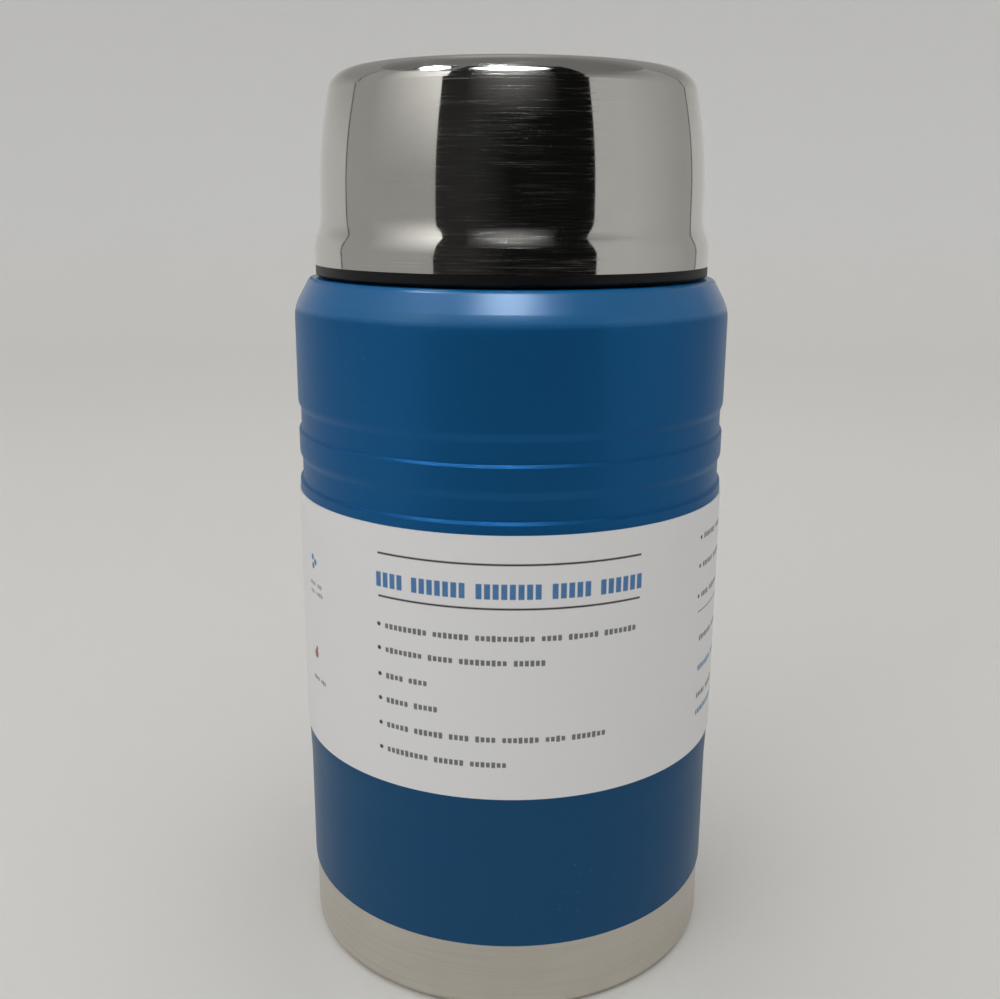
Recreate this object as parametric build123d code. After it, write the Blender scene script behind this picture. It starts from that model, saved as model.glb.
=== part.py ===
"""Insulated food jar: a double-wall steel vessel, a screw-in lid with a vent, a cup cap and a folding spoon.

Millimetres. +Z is up, along the jar's axis. The origin is the centre of the ring that the jar stands on.
The folded spoon lies along X, with its hinge on the -X side. The printed front of the label faces -Y.
"""

from build123d import *
import math
import os

# Clearances
TOUCH = 0.05  # between faces of one assembly that rest on each other
RUN_FIT = 0.08  # radial, round a pin or stem that turns or slides
CLEAR = 0.3  # between other surfaces that move past each other

# Vessel
BODY_R = 50.0
LOWER_R = 49.85
LABEL_SEAT_R = 50.1
SHELL_WALL = 0.6
SHELL_FOOT_Z = 16.7
SHOULDER_Z = 160.35
SHOULDER_EDGE_R = 46.45
SHOULDER_START_Z = 153.85
GROOVE_DEPTH = 0.58
GROOVE_SPAN = 6.6  # from a groove's sharp lower lip to its soft upper edge
GROOVE_LIPS_Z = (114.0, 125.8)
NECK_R = 36.0
MOUTH_R = 34.0
MOUTH_Z = 176.0
LIP_H = 0.8
LINER_WALL = 0.5
LINER_R = 44.6
LINER_FLOOR_Z = 11.4
LINER_SHOULDER_Z = 139.0
LINER_NECK_Z = 157.0
COPPER_T = 0.2

# Base
BASE_R = 49.4
BASE_WALL = 0.7
BASE_STEP = 0.35  # radial, where the cup steps in to nest in the shell's foot
BASE_NEST_Z = 22.0
BASE_WEB_R = 43.4
BASE_WEB_Z = 2.4
BASE_RING_R = 44.6  # inner edge of the ring that the jar stands on
DIMPLE_R = 7.0
DIMPLE_H = 2.4
SEAL_HOLE_R = 1.2
COVER_R = 43.0
COVER_T = 0.8
COVER_BEAD_R = 29.5
COVER_BEAD_H = 0.4
GETTER_X = 21.0
GETTER_R = 4.8
CLIP_T = 0.5

# Label
LABEL_T = 0.3
LABEL_LOW_Z = 53.1
LABEL_TOP_Z = 111.9
LABEL_SEAM = 0.4  # gap between the label's two ends, at the back

# Screw threads, the same lead on the neck and on the cap
LEAD = 12.0
STARTS = 3
RIDGE_TURN = 150.0  # degrees that each ridge runs round
RIDGE_ROOT = 2.2
RIDGE_CREST = 1.4
RIDGE_EMBED = 0.3

# Lid
SKIRT_R = 39.7
SKIRT_IN_R = 37.4
SKIRT_Z = 162.0
SKIRT_TOP_Z = 173.2
LID_SEAT_Z = 178.05
LID_FLOOR_Z = 180.0
LID_RIM_Z = 189.0
LID_RIM_R = 39.0
RECESS_R = 37.2
GRIPS = 24
GRIP_DEPTH = 0.5
GRIP_CUT_R = 3.0
GRIP_LOW_Z = 178.0
GRIP_TOP_Z = 187.0
PLUG_R = 33.5
COLLAR_IN_R = 31.4
SPIGOT_R = 32.0
SPIGOT_IN_R = 30.6
SPIGOT_H = 2.5
PLUG_CUP_R = 33.3
PLUG_CUP_WALL = 1.2
PLUG_CUP_TOP_Z = 172.0
PLUG_BOTTOM_Z = 148.0
GASKET_R = 36.1
NECK_THREAD_Z = 165.5
CAP_THREAD_Z = 166.0
NECK_THREAD_DEPTH = 1.0
CAP_THREAD_DEPTH = 0.9

# Vent
WELL_R = 9.2
WELL_Z = 174.0
WELL_WALL = 2.0
GUIDE_R = 4.0
GUIDE_Z = 151.0
BUTTON_R = 8.6
BUTTON_TOP_Z = 179.9
BUTTON_LOW_Z = 178.2
BUTTON_BOSS_Z = 176.2
BUTTON_BOSS_R = 2.8
BUTTON_HEM = 1.2
STEM_R = 1.6
STEM_HEAD_R = 2.6
STEM_HEAD_H = 0.9
POPPET_R = 4.8
POPPET_T = 2.57
SPRING_R = 4.4
SPRING_WIRE_R = 0.35
SPRING_COILS = 3

# Cup cap
CAP_TOP_Z = 204.7
CAP_DISH_R = 33.0  # middle of the soft step down to the sunken top
CAP_DISH_STEP = 2.4
CAP_DISH_DEPTH = 0.6
CAP_FOOT_Z = 163.2
CAP_FOOT_R = 45.1
CAP_WAIST_R = 43.46
CAP_WALL = 0.6
FLARE_LOW_Z = 166.2
FLARE_TOP_Z = 174.2
CAP_WAIST_Z = 178.0
BARREL_R = 110.0
BARREL_LEAN = 11.7  # degrees that the side leans in by, where it meets the rounded top edge
RING_Z = 160.7
RING_R = 44.95
SOCKET_R = 41.0  # inside the plastic cup's threaded foot
SOCKET_WALL = 1.3
SOCKET_TOP_Z = 173.5
CAP_BOWL_R = 39.4
CAP_BOWL_WALL = 1.2
CAP_CEILING_Z = 197.0
CAP_CEILING_T = 1.5
CAP_FOAM_R = 34.0
SPACER_Z = 184.0
SPACER_H = 6.0

# Spoon
BOWL_LONG = 24.5
BOWL_WIDE = 18.0
BOWL_DEEP = 6.6
SPOON_T = 1.0
BOWL_X = 10.0
BOWL_BOTTOM_Z = 180.15
PIVOT_X = -29.5
PIVOT_Z = 187.8
PIN_R = 1.5
KNUCKLE_R = 2.5
TONGUE_W = 8.4
EAR_T = 1.7
HANDLE_REACH = 63.5
HANDLE_T = 2.2
HANDLE_W = 14.0
HANDLE_WAIST_W = 8.4
CLIP_X = -20.0
CLIP_Y = 6.1
CLIP_TOP_Z = 186.2


def turned(points, rounds=None):
    """A solid of revolution from a closed (r, z) outline; rounds gives a corner's radius by its index."""
    rounds = rounds or {}
    radii = [rounds.get(corner, 0) for corner in range(len(points))]
    outline = FilletPolyline(*points, radius=radii, close=True)
    return revolve(Plane.XZ * make_face(outline), Axis.Z)


def sheet_outline(points, rounds=None):
    """An open (r, z) line for a sheet part; rounds gives a corner's radius by its index."""
    rounds = rounds or {}
    radii = [rounds.get(corner, 0) for corner in range(1, len(points) - 1)]
    return FilletPolyline(*points, radius=radii)


def spun_sheet(outline, wall):
    """Sheet metal spun to shape: the outline is the outer face, drawn upwards, and the wall lies inside it."""
    profile = make_face(offset(outline, amount=wall, side=Side.LEFT, kind=Kind.INTERSECTION))
    return revolve(Plane.XZ * profile, Axis.Z)


def ring(inner_r, outer_r, low_z, high_z, edge=0.0):
    """A flat-sided ring, or a disc where the inner radius is 0, with its outer edges rounded."""
    points = [(inner_r, low_z), (outer_r, low_z), (outer_r, high_z), (inner_r, high_z)]
    return turned(points, {1: edge, 2: edge})


def thread_ridges(root_r, depth, low_z):
    """The ridges of a multi-start thread; a negative depth points inwards, as in a nut."""
    side = math.copysign(1, depth)
    buried_r = root_r - side * RIDGE_EMBED
    crest_r = root_r + depth
    outline = Polyline(
        (buried_r, low_z - RIDGE_ROOT / 2),
        (buried_r, low_z + RIDGE_ROOT / 2),
        (crest_r, low_z + RIDGE_CREST / 2),
        (crest_r, low_z - RIDGE_CREST / 2),
        close=True,
    )
    path = Pos(0, 0, low_z) * Helix(LEAD, LEAD * RIDGE_TURN / 360, root_r)
    ridge = sweep(Plane.XZ * make_face(outline), path=path, is_frenet=True)
    return [Rot(Z=360 / STARTS * start) * ridge for start in range(STARTS)]


def female_thread_z(male_z):
    """Height at which a nut's ridges start, so that they run midway between the male ridges."""
    return male_z - LEAD / STARTS / 2


# ---- Vessel ----


def shell_outline():
    """Outer face of the outer shell, from its foot to the top of the neck."""
    points = [(LOWER_R, SHELL_FOOT_Z), (LOWER_R, 44.0), (LABEL_SEAT_R, 50.0)]
    rounds = {1: 40, 2: 40}
    for index, lip_z in enumerate(GROOVE_LIPS_Z):
        below_r = LABEL_SEAT_R if index == 0 else BODY_R
        floor_r = BODY_R - GROOVE_DEPTH
        soft_z = lip_z + GROOVE_SPAN
        first = len(points)
        points += [(below_r, lip_z), (floor_r, lip_z + 0.45), (floor_r, soft_z - 1.5), (BODY_R, soft_z)]
        rounds |= {first: 0.2, first + 1: 0.25, first + 2: 1.6, first + 3: 2.4}
    first = len(points)
    points += [
        (BODY_R, SHOULDER_START_Z),
        (SHOULDER_EDGE_R, SHOULDER_Z),
        (NECK_R, SHOULDER_Z),
        (NECK_R, MOUTH_Z - LIP_H),
    ]
    rounds |= {first: 9.0, first + 1: 1.3, first + 2: 1.0}
    return sheet_outline(points, rounds)


def outer_shell():
    shell = spun_sheet(shell_outline(), SHELL_WALL)
    for ridge in thread_ridges(NECK_R, NECK_THREAD_DEPTH, NECK_THREAD_Z):
        shell += ridge
    return shell


def base_cup():
    """Bare steel base: a pressed cup nested in the shell's foot, with a dimple for the evacuation hole."""
    nest_r = BASE_R - BASE_STEP
    inner_r = BASE_R - BASE_WALL
    step_z = SHELL_FOOT_Z - TOUCH
    web_top_z = BASE_WEB_Z + BASE_WALL
    points = [
        (BASE_R, step_z),
        (BASE_R, 0),
        (BASE_RING_R, 0),
        (BASE_WEB_R, BASE_WEB_Z),
        (DIMPLE_R + 1.5, BASE_WEB_Z),
        (DIMPLE_R, BASE_WEB_Z + DIMPLE_H),
        (SEAL_HOLE_R, BASE_WEB_Z + DIMPLE_H),
        (SEAL_HOLE_R, web_top_z + DIMPLE_H),
        (DIMPLE_R + 0.5, web_top_z + DIMPLE_H),
        (DIMPLE_R + 2.0, web_top_z),
        (BASE_WEB_R + 0.6, web_top_z),
        (BASE_RING_R + 0.6, BASE_WALL),
        (inner_r, BASE_WALL),
        (inner_r, BASE_NEST_Z),
        (nest_r, BASE_NEST_Z),
        (nest_r, step_z),
    ]
    return turned(points, {0: 0.2, 1: 2.0, 2: 0.8, 3: 0.6, 12: 1.2})


def base_cover():
    """Thin stamped disc with a round bead, glued in the recess over the sealed evacuation hole."""
    top_z = BASE_WEB_Z - TOUCH
    low_z = top_z - COVER_T
    points = [
        (0, low_z),
        (COVER_BEAD_R - 1.5, low_z),
        (COVER_BEAD_R - 0.9, low_z - COVER_BEAD_H),
        (COVER_BEAD_R + 0.9, low_z - COVER_BEAD_H),
        (COVER_BEAD_R + 1.5, low_z),
        (COVER_R, low_z),
        (COVER_R, top_z),
        (COVER_BEAD_R + 1.7, top_z),
        (COVER_BEAD_R + 0.9, top_z - COVER_BEAD_H),
        (COVER_BEAD_R - 0.9, top_z - COVER_BEAD_H),
        (COVER_BEAD_R - 1.7, top_z),
        (0, top_z),
    ]
    return turned(points, {1: 0.3, 4: 0.3, 5: 0.3})


def vacuum_seal():
    """Bead of braze that closes the evacuation hole from below."""
    bead_r = 3.0
    bead_h = 1.2
    plug_r = SEAL_HOLE_R - TOUCH
    hole_z = BASE_WEB_Z + DIMPLE_H
    points = [
        (0, hole_z - bead_h),
        (bead_r, hole_z - bead_h),
        (bead_r, hole_z),
        (plug_r, hole_z),
        (plug_r, hole_z + BASE_WALL),
        (0, hole_z + BASE_WALL),
    ]
    return turned(points, {1: 0.8})


def getter_clip():
    """Spring-steel strip, spot-welded to the base web beside the dimple, that holds the getter."""
    low_z = BASE_WEB_Z + BASE_WALL + TOUCH
    tab_x = GETTER_R + 0.6
    tab_h = 1.7
    strip = Pos(GETTER_X, 0, low_z + CLIP_T / 2) * Box(20, 8, CLIP_T)
    tabs = [Pos(GETTER_X + x, 0, low_z + CLIP_T + tab_h / 2) * Box(CLIP_T, 6, tab_h) for x in (-tab_x, tab_x)]
    return strip + tabs


def getter():
    """Pellet that takes up the last gas in the vacuum space."""
    low_z = BASE_WEB_Z + BASE_WALL + CLIP_T + 2 * TOUCH
    return Pos(GETTER_X, 0, 0) * ring(0, GETTER_R, low_z, low_z + 2.2, 0.4)


def liner_outline():
    """Outer face of the inner vessel, from the middle of its floor to the underside of the lip."""
    points = [
        (0, LINER_FLOOR_Z),
        (LINER_R, LINER_FLOOR_Z),
        (LINER_R, LINER_SHOULDER_Z),
        (MOUTH_R + LINER_WALL, LINER_NECK_Z),
        (MOUTH_R + LINER_WALL, MOUTH_Z - LIP_H + TOUCH),
    ]
    return sheet_outline(points, {1: 10.0, 2: 12.0, 3: 8.0})


def inner_liner():
    """Inner vessel, with the rolled lip that it is welded to the neck by."""
    lip = ring(MOUTH_R, NECK_R, MOUTH_Z - LIP_H, MOUTH_Z, 0.35)
    return spun_sheet(liner_outline(), LINER_WALL) + lip


def copper_layer():
    """Copper coat on the vacuum side of the inner vessel, which reflects heat."""
    out_r = LINER_R + TOUCH + COPPER_T
    in_r = LINER_R + TOUCH
    low_z = LINER_FLOOR_Z - TOUCH - COPPER_T
    points = [
        (0, low_z),
        (out_r, low_z),
        (out_r, LINER_SHOULDER_Z - 4),
        (in_r, LINER_SHOULDER_Z - 4),
        (in_r, low_z + COPPER_T),
        (0, low_z + COPPER_T),
    ]
    return turned(points, {1: 10.25, 4: 10.05})


def label_band():
    """Paper label wrapped round the body."""
    inner_r = LABEL_SEAT_R + 0.02
    band = ring(inner_r, inner_r + LABEL_T, LABEL_LOW_Z, LABEL_TOP_Z)
    seam = Pos(0, inner_r, (LABEL_LOW_Z + LABEL_TOP_Z) / 2) * Box(LABEL_SEAM, 4, LABEL_TOP_Z - LABEL_LOW_Z + 2)
    return band - seam


# ---- Lid ----


def lid_turning():
    """The lid's turned form: skirt over the neck, plug collar in the mouth, recess and its rim on top."""
    well_out_r = WELL_R + WELL_WALL
    stem_hole_r = STEM_R + RUN_FIT
    points = [
        (SKIRT_IN_R, SKIRT_Z),
        (SKIRT_R, SKIRT_Z),
        (SKIRT_R, SKIRT_TOP_Z),
        (LID_RIM_R, SKIRT_TOP_Z + 1),
        (LID_RIM_R, LID_RIM_Z),
        (RECESS_R, LID_RIM_Z),
        (RECESS_R, LID_FLOOR_Z),
        (WELL_R, LID_FLOOR_Z),
        (WELL_R, WELL_Z),
        (stem_hole_r, WELL_Z),
        (stem_hole_r, GUIDE_Z),
        (GUIDE_R, GUIDE_Z),
        (GUIDE_R, WELL_Z - WELL_WALL),
        (well_out_r, WELL_Z - WELL_WALL),
        (well_out_r, LID_SEAT_Z),
        (COLLAR_IN_R, LID_SEAT_Z),
        (COLLAR_IN_R, PLUG_CUP_TOP_Z),
        (SPIGOT_IN_R, PLUG_CUP_TOP_Z),
        (SPIGOT_IN_R, PLUG_CUP_TOP_Z - SPIGOT_H),
        (SPIGOT_R, PLUG_CUP_TOP_Z - SPIGOT_H),
        (SPIGOT_R, PLUG_CUP_TOP_Z),
        (PLUG_R, PLUG_CUP_TOP_Z),
        (PLUG_R, LID_SEAT_Z),
        (SKIRT_IN_R, LID_SEAT_Z),
    ]
    return turned(points, {0: 0.3, 1: 0.6, 4: 0.7, 5: 0.7, 6: 1.2, 7: 0.5, 21: 0.4, 23: 0.5})


def spoon_clips():
    """Two posts that hold the neck of the folded spoon in the recess."""
    rooted = 0.4
    height = CLIP_TOP_Z - LID_FLOOR_Z + rooted
    return [Pos(CLIP_X, y, CLIP_TOP_Z - height / 2) * Box(7, 1.6, height) for y in (-CLIP_Y, CLIP_Y)]


def lid_body():
    lid = lid_turning() + spoon_clips()
    for ridge in thread_ridges(SKIRT_R, CAP_THREAD_DEPTH, CAP_THREAD_Z):
        lid += ridge
    for ridge in thread_ridges(SKIRT_IN_R, -NECK_THREAD_DEPTH, female_thread_z(NECK_THREAD_Z)):
        lid += ridge
    grip_x = LID_RIM_R + GRIP_CUT_R - GRIP_DEPTH
    grip = Pos(grip_x, 0, (GRIP_LOW_Z + GRIP_TOP_Z) / 2) * Cylinder(GRIP_CUT_R, GRIP_TOP_Z - GRIP_LOW_Z)
    return lid - [Rot(Z=360 / GRIPS * index) * grip for index in range(GRIPS)]


def plug_cup():
    """Lower half of the lid's plug, welded on below the collar to close in the foam."""
    top_z = PLUG_CUP_TOP_Z - TOUCH
    inner_r = PLUG_CUP_R - PLUG_CUP_WALL
    floor_z = PLUG_BOTTOM_Z + PLUG_CUP_WALL
    port_r = 2.4
    points = [
        (port_r, PLUG_BOTTOM_Z),
        (PLUG_CUP_R, PLUG_BOTTOM_Z),
        (PLUG_CUP_R, top_z),
        (inner_r, top_z),
        (inner_r, floor_z),
        (port_r, floor_z),
    ]
    return turned(points, {1: 2.5, 4: 1.3})


def plug_foam():
    """Ring of insulating foam inside the plug, round the vent's guide tube."""
    outer_r = PLUG_CUP_R - PLUG_CUP_WALL - CLEAR
    low_z = PLUG_BOTTOM_Z + PLUG_CUP_WALL + CLEAR
    high_z = PLUG_CUP_TOP_Z - SPIGOT_H - 0.5
    return ring(GUIDE_R + CLEAR, outer_r, low_z, high_z, 1.2)


def lid_gasket():
    """Silicone ring round the plug, pressed between the lid and the mouth."""
    return ring(PLUG_R + 0.1, GASKET_R, MOUTH_Z + TOUCH, LID_SEAT_Z - TOUCH, 0.5)


def vent_button():
    """Button in the middle of the lid, pressed to let air in before the lid is unscrewed."""
    dish_depth = 0.5
    points = [
        (0, BUTTON_BOSS_Z),
        (BUTTON_BOSS_R, BUTTON_BOSS_Z),
        (BUTTON_BOSS_R, BUTTON_LOW_Z),
        (BUTTON_R - BUTTON_HEM, BUTTON_LOW_Z),
        (BUTTON_R - BUTTON_HEM, BUTTON_LOW_Z - BUTTON_HEM),
        (BUTTON_R, BUTTON_LOW_Z - BUTTON_HEM),
        (BUTTON_R, BUTTON_TOP_Z),
        (5.5, BUTTON_TOP_Z),
        (4.5, BUTTON_TOP_Z - dish_depth),
        (0, BUTTON_TOP_Z - dish_depth),
    ]
    return turned(points, {6: 0.5, 7: 0.6, 8: 0.6})


def vent_stem():
    """Rod from the button down through the guide, with a head that carries the poppet."""
    low_z = PLUG_BOTTOM_Z - POPPET_T - STEM_HEAD_H - TOUCH
    high_z = BUTTON_BOSS_Z - TOUCH
    points = [
        (0, low_z),
        (STEM_HEAD_R, low_z),
        (STEM_HEAD_R, low_z + STEM_HEAD_H),
        (STEM_R, low_z + STEM_HEAD_H),
        (STEM_R, high_z),
        (0, high_z),
    ]
    return turned(points, {1: 0.4, 2: 0.3})


def vent_poppet():
    """Silicone disc that closes the vent from below."""
    high_z = PLUG_BOTTOM_Z - 0.03
    return ring(STEM_R + 0.02, POPPET_R, high_z - POPPET_T + 0.05, high_z, 0.7)


def vent_spring():
    """Coil spring that lifts the button and shuts the vent."""
    low_z = WELL_Z + SPRING_WIRE_R + TOUCH
    height = BUTTON_LOW_Z - SPRING_WIRE_R - TOUCH - low_z
    path = Pos(0, 0, low_z) * Helix(height / SPRING_COILS, height, SPRING_R)
    wire = Plane(origin=(SPRING_R, 0, low_z), x_dir=(1, 0, 0), z_dir=(0, 1, 0)) * Circle(SPRING_WIRE_R)
    return sweep(wire, path=path, is_frenet=True)


# ---- Cup cap ----


def s_curve(start, end, heading):
    """Two tangent arcs that step from one line to a parallel one; heading is the direction of both."""
    middle = ((start[0] + end[0]) / 2, (start[1] + end[1]) / 2)
    back = (-heading[0], -heading[1])
    return [TangentArc(start, middle, tangent=heading), TangentArc(end, middle, tangent=back)]


def cap_outline():
    """Outer face of the steel cup: foot, flare, slightly barrelled side, rounded edge and sunken top."""
    flare_low = (CAP_FOOT_R, FLARE_LOW_Z)
    flare_top = (CAP_WAIST_R, FLARE_TOP_Z)
    waist_top = (CAP_WAIST_R, CAP_WAIST_Z)
    lean = math.radians(BARREL_LEAN)
    barrel_top = (CAP_WAIST_R - BARREL_R * (1 - math.cos(lean)), CAP_WAIST_Z + BARREL_R * math.sin(lean))
    edge_r = (CAP_TOP_Z - barrel_top[1]) / (1 - math.sin(lean))
    edge_end = (barrel_top[0] - edge_r * math.cos(lean), CAP_TOP_Z)
    dish_start = (CAP_DISH_R + CAP_DISH_STEP / 2, CAP_TOP_Z)
    dish_end = (CAP_DISH_R - CAP_DISH_STEP / 2, CAP_TOP_Z - CAP_DISH_DEPTH)
    lines = [
        Line((CAP_FOOT_R - 0.1, CAP_FOOT_Z), flare_low),
        *s_curve(flare_low, flare_top, (0, 1)),
        Line(flare_top, waist_top),
        TangentArc(waist_top, barrel_top, tangent=(0, 1)),
        TangentArc(barrel_top, edge_end, tangent=(-math.sin(lean), math.cos(lean))),
        Line(edge_end, dish_start),
        *s_curve(dish_start, dish_end, (-1, 0)),
        Line(dish_end, (0, dish_end[1])),
    ]
    return Wire([line.edge() for line in lines])


def cap_shell():
    return spun_sheet(cap_outline(), CAP_WALL)


def cap_liner():
    """Plastic cup inside the steel one; its foot is the dark ring under the steel, and it holds the thread."""
    socket_out_r = SOCKET_R + SOCKET_WALL
    bowl_out_r = CAP_BOWL_R + CAP_BOWL_WALL
    ring_top_z = CAP_FOOT_Z - TOUCH
    tuck_r = RING_R - 0.95
    tuck_z = CAP_FOOT_Z + 2.0
    top_z = CAP_CEILING_Z + CAP_CEILING_T
    points = [
        (SOCKET_R, RING_Z),
        (RING_R, RING_Z),
        (RING_R, ring_top_z),
        (tuck_r, ring_top_z),
        (tuck_r, tuck_z),
        (socket_out_r, tuck_z + 0.8),
        (socket_out_r, SOCKET_TOP_Z + 0.1),
        (bowl_out_r, SOCKET_TOP_Z + 1.7),
        (bowl_out_r, top_z),
        (0, top_z),
        (0, CAP_CEILING_Z),
        (CAP_BOWL_R, CAP_CEILING_Z),
        (CAP_BOWL_R, SOCKET_TOP_Z + 1.9),
        (SOCKET_R, SOCKET_TOP_Z - 0.1),
    ]
    liner = turned(points, {0: 0.4, 1: 0.7, 8: 6.2, 11: 5.0})
    for ridge in thread_ridges(SOCKET_R, -CAP_THREAD_DEPTH, female_thread_z(CAP_THREAD_Z)):
        liner += ridge
    return liner


def cap_insulation():
    """Foam disc between the top of the steel cup and the plastic one."""
    low_z = CAP_CEILING_Z + CAP_CEILING_T + CLEAR
    high_z = CAP_TOP_Z - CAP_DISH_DEPTH - CAP_WALL - CLEAR
    return ring(0, CAP_FOAM_R, low_z, high_z, 1.0)


def cap_spacer():
    """Band that centres the plastic cup in the steel one."""
    inner_r = CAP_BOWL_R + CAP_BOWL_WALL + 0.25
    return ring(inner_r, inner_r + 0.75, SPACER_Z, SPACER_Z + SPACER_H, 0.2)


# ---- Spoon ----


def hinge_cylinder(radius, length, middle_y=0.0):
    """A cylinder along the spoon's hinge axis."""
    return Pos(PIVOT_X, middle_y, PIVOT_Z) * Rot(X=90) * Cylinder(radius, length)


def spoon_bowl():
    """Bowl, neck and the hinge tongue at the neck's end, pressed from one piece of steel."""
    rim_z = BOWL_BOTTOM_Z + BOWL_DEEP
    outer = scale(Sphere(1), by=(BOWL_LONG, BOWL_WIDE, BOWL_DEEP))
    hollow = scale(Sphere(1), by=(BOWL_LONG - SPOON_T, BOWL_WIDE - SPOON_T, BOWL_DEEP - SPOON_T))
    upper_half = Pos(0, 0, BOWL_DEEP) * Box(4 * BOWL_LONG, 4 * BOWL_WIDE, 2 * BOWL_DEEP)
    bowl = Pos(BOWL_X, 0, rim_z) * (outer - hollow - upper_half)
    rear_x = BOWL_X - BOWL_LONG + 0.5
    neck_top_z = rim_z - 0.05
    neck_low_z = rim_z - 1.6
    side = Polyline(
        (rear_x, neck_top_z),
        (rear_x, neck_low_z),
        (PIVOT_X + 4.0, neck_low_z),
        (PIVOT_X, PIVOT_Z - KNUCKLE_R),
        (PIVOT_X, PIVOT_Z + KNUCKLE_R / 2),
        (PIVOT_X + 2.0, neck_top_z),
        close=True,
    )
    neck = extrude(Plane.XZ * make_face(side), TONGUE_W / 2, both=True)
    knuckle = hinge_cylinder(KNUCKLE_R, TONGUE_W)
    hole = hinge_cylinder(PIN_R + 0.02, 2 * TONGUE_W)
    return bowl + neck + knuckle - hole


def spoon_pin():
    """Hinge pin, held in the tongue, with a small head at each side."""
    ear_out_y = TONGUE_W / 2 + CLEAR + EAR_T
    head_t = 0.6
    head_y = ear_out_y + 0.1 + head_t / 2
    heads = [hinge_cylinder(PIN_R + 0.6, head_t, y) for y in (-head_y, head_y)]
    return hinge_cylinder(PIN_R, 2 * head_y) + heads


def spoon_handle():
    """Folding handle: a flat bar with a rounded end and two ears that straddle the tongue."""
    low_z = PIVOT_Z - 0.2
    start_x = PIVOT_X + KNUCKLE_R + 0.5
    waist_x = start_x + 22
    wide_x = PIVOT_X + HANDLE_REACH - 26
    end_x = PIVOT_X + HANDLE_REACH
    fork_w = TONGUE_W + 2 * (CLEAR + EAR_T)
    half_side = [
        (start_x, fork_w / 2),
        (start_x + 8, fork_w / 2),
        (waist_x, HANDLE_WAIST_W / 2),
        (wide_x, HANDLE_W / 2),
        (end_x, HANDLE_W / 2),
    ]
    half_radii = [0.3, 10, 30, 30, 6.6]
    other_side = [(x, -y) for x, y in reversed(half_side)]
    outline = FilletPolyline(*half_side, *other_side, radius=half_radii + half_radii[::-1], close=True)
    bar = Pos(0, 0, low_z) * extrude(make_face(outline), HANDLE_T)
    bar = fillet(bar.edges().group_by(Axis.Z)[-1], 0.5)
    bar -= Pos(end_x - 9, 0, low_z) * extrude(SlotOverall(10, 4), HANDLE_T)
    arm_len = start_x + 3 - PIVOT_X
    ear_y = TONGUE_W / 2 + CLEAR + EAR_T / 2
    for y in (-ear_y, ear_y):
        eye = hinge_cylinder(KNUCKLE_R, EAR_T, y)
        arm = Pos(PIVOT_X + arm_len / 2, y, low_z + HANDLE_T / 2) * Box(arm_len, EAR_T, HANDLE_T)
        bar += eye + arm
    return bar - hinge_cylinder(PIN_R + RUN_FIT, 2 * fork_w)


PARTS = {
    "outer_shell": outer_shell,
    "base_cup": base_cup,
    "base_cover": base_cover,
    "vacuum_seal": vacuum_seal,
    "getter_clip": getter_clip,
    "getter": getter,
    "inner_liner": inner_liner,
    "copper_layer": copper_layer,
    "label_band": label_band,
    "lid_body": lid_body,
    "plug_cup": plug_cup,
    "plug_foam": plug_foam,
    "lid_gasket": lid_gasket,
    "vent_button": vent_button,
    "vent_stem": vent_stem,
    "vent_poppet": vent_poppet,
    "vent_spring": vent_spring,
    "spoon_bowl": spoon_bowl,
    "spoon_pin": spoon_pin,
    "spoon_handle": spoon_handle,
    "cap_shell": cap_shell,
    "cap_liner": cap_liner,
    "cap_insulation": cap_insulation,
    "cap_spacer": cap_spacer,
}

os.makedirs("parts", exist_ok=True)
for node, make in PARTS.items():
    export_step(make(), f"parts/{node}.step")
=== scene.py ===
import math

import bpy
from mathutils import Matrix, Vector


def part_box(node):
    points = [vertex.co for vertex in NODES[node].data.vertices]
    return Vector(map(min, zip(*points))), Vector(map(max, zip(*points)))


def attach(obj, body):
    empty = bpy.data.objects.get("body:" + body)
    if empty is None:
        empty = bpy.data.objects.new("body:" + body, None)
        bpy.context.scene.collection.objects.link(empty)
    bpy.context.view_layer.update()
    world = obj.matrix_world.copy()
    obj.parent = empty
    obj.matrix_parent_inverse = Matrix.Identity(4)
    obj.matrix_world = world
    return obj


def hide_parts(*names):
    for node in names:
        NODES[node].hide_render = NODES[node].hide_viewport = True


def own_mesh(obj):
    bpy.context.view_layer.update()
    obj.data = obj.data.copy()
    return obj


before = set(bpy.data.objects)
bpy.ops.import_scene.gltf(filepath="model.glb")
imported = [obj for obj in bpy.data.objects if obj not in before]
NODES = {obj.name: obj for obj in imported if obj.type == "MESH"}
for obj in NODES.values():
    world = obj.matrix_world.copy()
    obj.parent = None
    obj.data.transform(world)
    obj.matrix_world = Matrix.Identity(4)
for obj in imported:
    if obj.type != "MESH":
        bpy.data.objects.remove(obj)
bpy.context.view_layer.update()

# Looks of the insulated food jar: materials, the label's print, a pale stage, soft lights and the camera.
# Metres, in the jar's own frame: Z is its axis and the printed front faces -Y.
# Angles round the jar are in degrees from the front, towards +X, unless a comment says radians.

MM = 0.001

# Camera, its angles in degrees
CAMERA_Y = -0.2724
CAMERA_Z = 0.1773
CAMERA_PITCH = 14.58  # below the horizon
CAMERA_YAW = -0.496
CAMERA_ROLL = 0.289
SENSOR = 36.0  # millimetres
LENS = 41.4  # millimetres
CLIP_START = 0.01
CLIP_END = 10.0

# Floor and wall
FLOOR_INNER_R = 0.5  # a ring of points within the flat floor
FLOOR_R = 1.1
WALL_R = 1.6
WALL_H = 1.5
BEND_STEP = 5  # degrees between the points of the bend from floor to wall
FLOOR_COLOUR = (0.80, 0.784, 0.756)
WALL_COLOUR = (0.80, 0.80, 0.795)
STAGE_SHADE = (0.6, 0.6, 0.6)

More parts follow.
